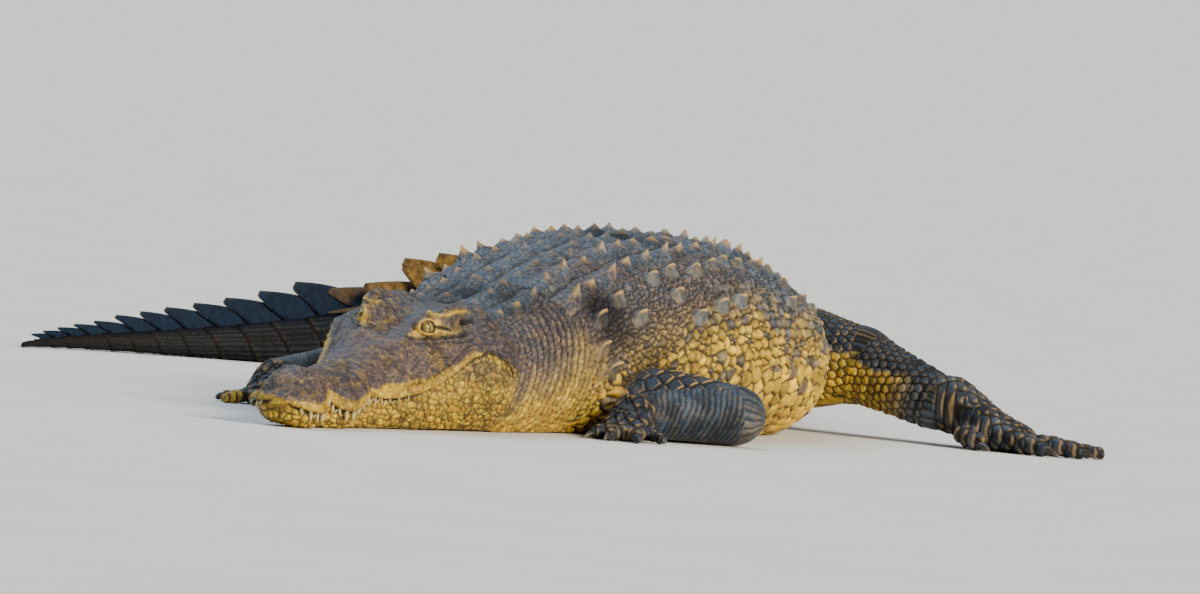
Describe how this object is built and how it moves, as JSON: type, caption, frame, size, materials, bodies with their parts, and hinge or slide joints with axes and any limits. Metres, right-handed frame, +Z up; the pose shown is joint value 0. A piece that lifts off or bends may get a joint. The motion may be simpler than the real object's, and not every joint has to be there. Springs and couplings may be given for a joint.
{
  "type": "nile crocodile",
  "caption": "Life-size Nile crocodile resting on its belly, head and jaw on the floor, one hind leg stretched out and the tail curled round.",
  "frame": {"origin": "on the floor under the middle of the shoulders, on the belly's flat", "axes": "+Z up, the crocodile faces -Y, its left side is towards +X"},
  "size_m": [2.0992, 2.7054, 0.3323],
  "materials": {
    "dorsal_hide": "dry, scaly, matt",
    "flank_and_belly_hide": "scaly, satin",
    "limb_hide": "scaly, satin",
    "claw_horn": "horn, satin",
    "eye": "wet gloss"
  },
  "bodies": {
    "root": {"skull": "dorsal_hide", "lower_jaw": "flank_and_belly_hide", "eye_left": "eye", "eye_right": "eye", "neck": "dorsal_hide", "trunk": "dorsal_hide", "tail_base": "dorsal_hide", "tail_middle": "dorsal_hide", "tail_end": "dorsal_hide", "tail_tip": "dorsal_hide", "left_upper_arm": "limb_hide", "left_forearm": "limb_hide", "left_hand": "limb_hide", "left_thigh": "limb_hide", "left_shank": "limb_hide", "left_foot": "limb_hide", "left_hand_claw_1": "claw_horn", "left_hand_claw_2": "claw_horn", "left_hand_claw_3": "claw_horn", "left_foot_claw_1": "claw_horn", "left_foot_claw_2": "claw_horn", "left_foot_claw_3": "claw_horn", "right_upper_arm": "limb_hide", "right_forearm": "limb_hide", "right_hand": "limb_hide", "right_thigh": "limb_hide", "right_shank": "limb_hide", "right_foot": "limb_hide", "right_hand_claw_1": "claw_horn", "right_hand_claw_2": "claw_horn", "right_hand_claw_3": "claw_horn", "right_foot_claw_1": "claw_horn", "right_foot_claw_2": "claw_horn", "right_foot_claw_3": "claw_horn"}
  },
  "joints": []
}
